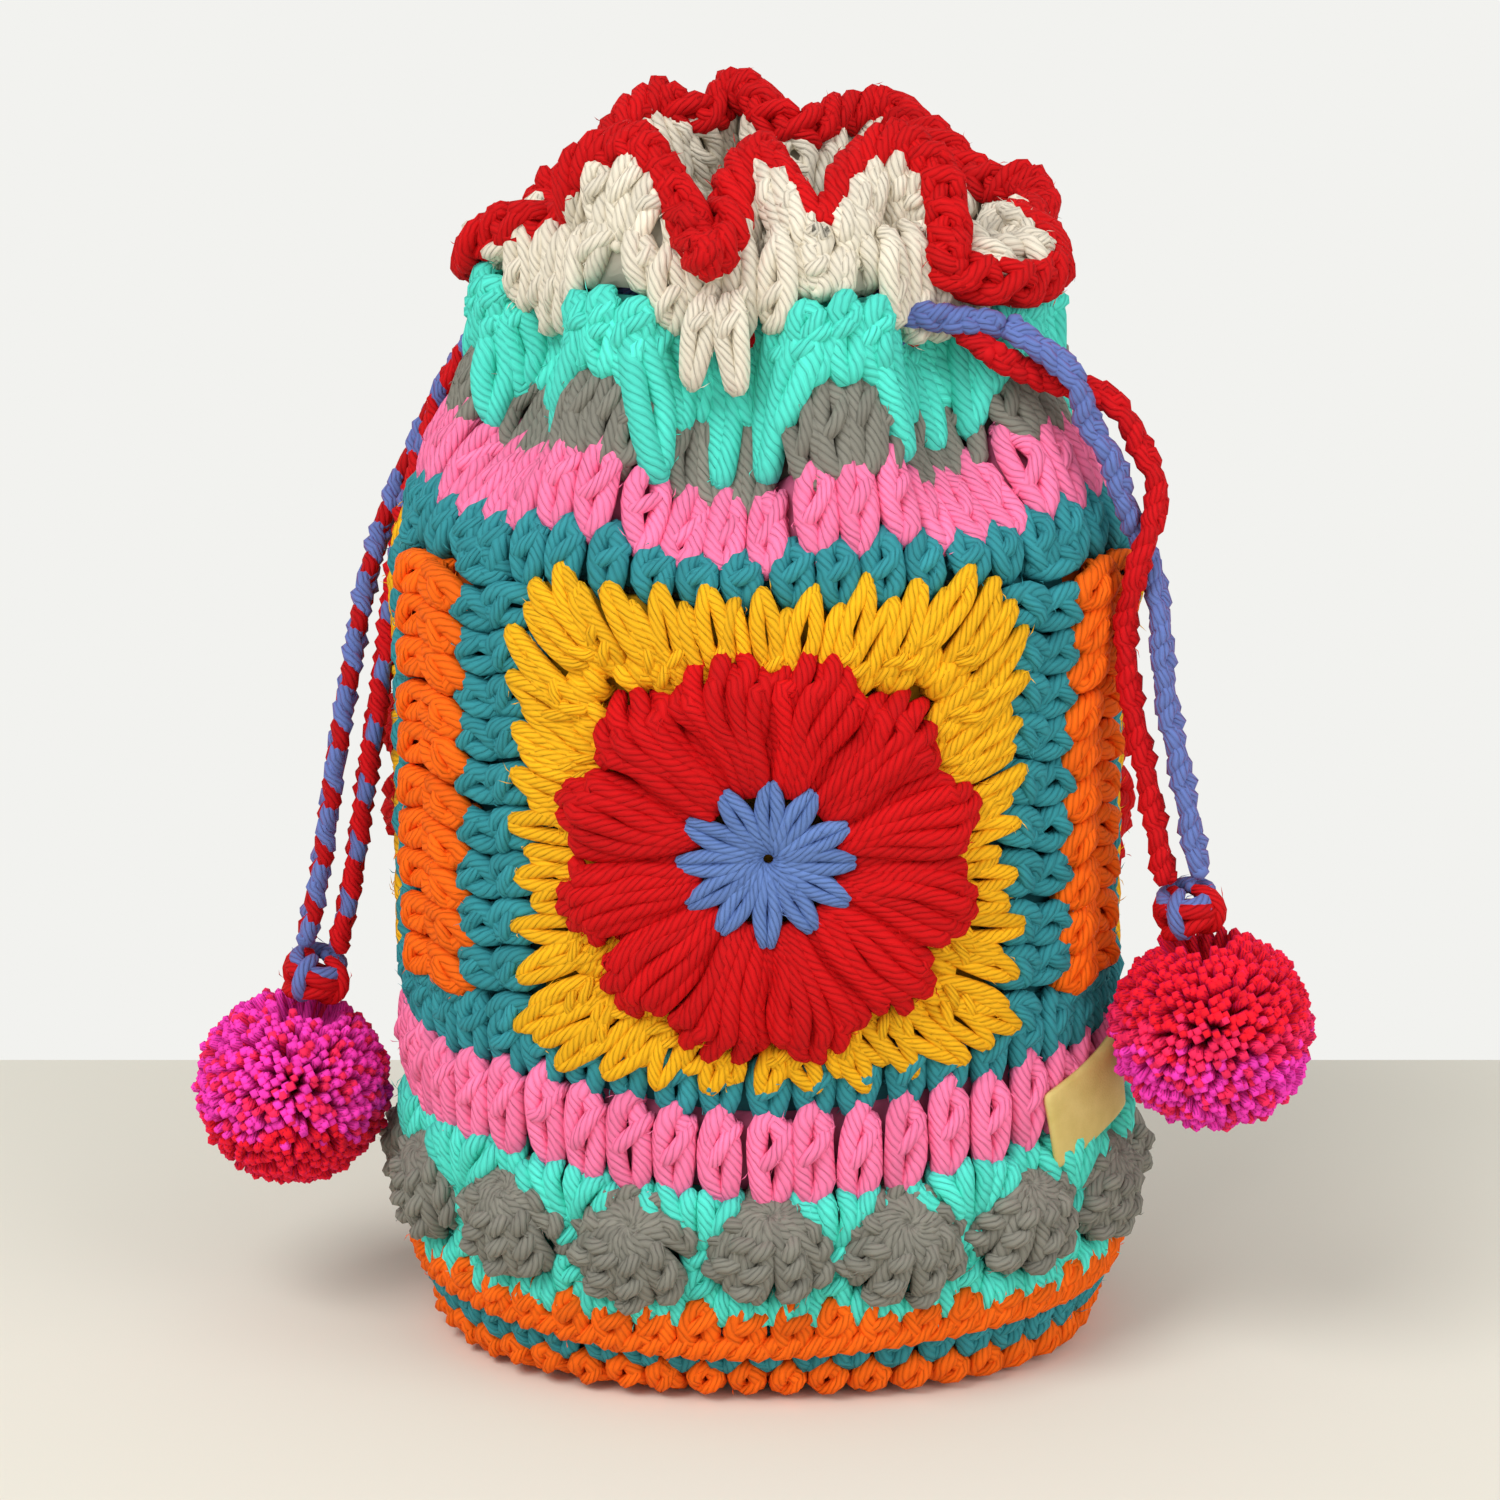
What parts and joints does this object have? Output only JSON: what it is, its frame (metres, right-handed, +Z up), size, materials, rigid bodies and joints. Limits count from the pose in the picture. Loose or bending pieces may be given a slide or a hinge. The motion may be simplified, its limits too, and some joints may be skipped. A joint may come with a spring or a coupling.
{
  "type": "crochet pouch",
  "caption": "Round crocheted drawstring pouch with flower squares, popcorn stitches, a ruffled collar, drawstrings and pompoms.",
  "frame": {"origin": "on the floor, at the underside of the round base centre, on the axis of the pouch", "axes": "+Z up the pouch, -Y towards the flower square that faces the viewer, +X to its right"},
  "size_m": [0.1933, 0.135, 0.2189],
  "materials": {
    "teal_yarn": "crocheted acrylic yarn",
    "orange_yarn": "crocheted acrylic yarn",
    "turquoise_yarn": "crocheted acrylic yarn",
    "grey_yarn": "crocheted acrylic yarn",
    "pink_yarn": "crocheted acrylic yarn",
    "yellow_yarn": "crocheted acrylic yarn",
    "red_yarn": "crocheted acrylic yarn",
    "blue_yarn": "crocheted acrylic yarn",
    "cream_yarn": "crocheted acrylic yarn",
    "drawstring_yarn": "red and blue yarn chains",
    "pompom_yarn": "trimmed magenta and red yarn ends",
    "lining_cloth": "plain woven cotton",
    "tan_leather": "thin vegetable-tanned leather, plain"
  },
  "bodies": {
    "root": {"back_orange_seam": "orange_yarn", "base_centre": "teal_yarn", "base_orange_round": "orange_yarn", "base_teal_round": "teal_yarn", "bobble_01": "grey_yarn", "bobble_02": "grey_yarn", "bobble_03": "grey_yarn", "bobble_04": "grey_yarn", "bobble_05": "grey_yarn", "bobble_06": "grey_yarn", "bobble_07": "grey_yarn", "bobble_08": "grey_yarn", "bobble_09": "grey_yarn", "bobble_10": "grey_yarn", "bobble_11": "grey_yarn", "bobble_12": "grey_yarn", "bobble_13": "grey_yarn", "bobble_14": "grey_yarn", "bobble_15": "grey_yarn", "bobble_16": "grey_yarn", "bobble_17": "grey_yarn", "cream_collar": "cream_yarn", "front_flower_eye": "blue_yarn", "front_flower_petals": "red_yarn", "front_teal_border": "teal_yarn", "front_yellow_ground": "yellow_yarn", "grey_round": "grey_yarn", "leather_tag": "tan_leather", "left_drawstring": "drawstring_yarn", "left_flower_eye": "blue_yarn", "left_flower_petals": "red_yarn", "left_knot": "red_yarn", "left_orange_seam": "orange_yarn", "left_pompom": "pompom_yarn", "left_teal_border": "teal_yarn", "left_yellow_ground": "yellow_yarn", "lining": "lining_cloth", "orange_ridge": "orange_yarn", "pink_round_lower": "pink_yarn", "pink_round_upper": "pink_yarn", "red_edging": "red_yarn", "right_drawstring": "drawstring_yarn", "right_flower_eye": "blue_yarn", "right_flower_petals": "red_yarn", "right_knot": "red_yarn", "right_orange_seam": "orange_yarn", "right_pompom": "pompom_yarn", "right_teal_border": "teal_yarn", "right_yellow_ground": "yellow_yarn", "teal_round_upper": "teal_yarn", "turquoise_round_lower": "turquoise_yarn", "turquoise_round_upper": "turquoise_yarn"}
  },
  "joints": []
}
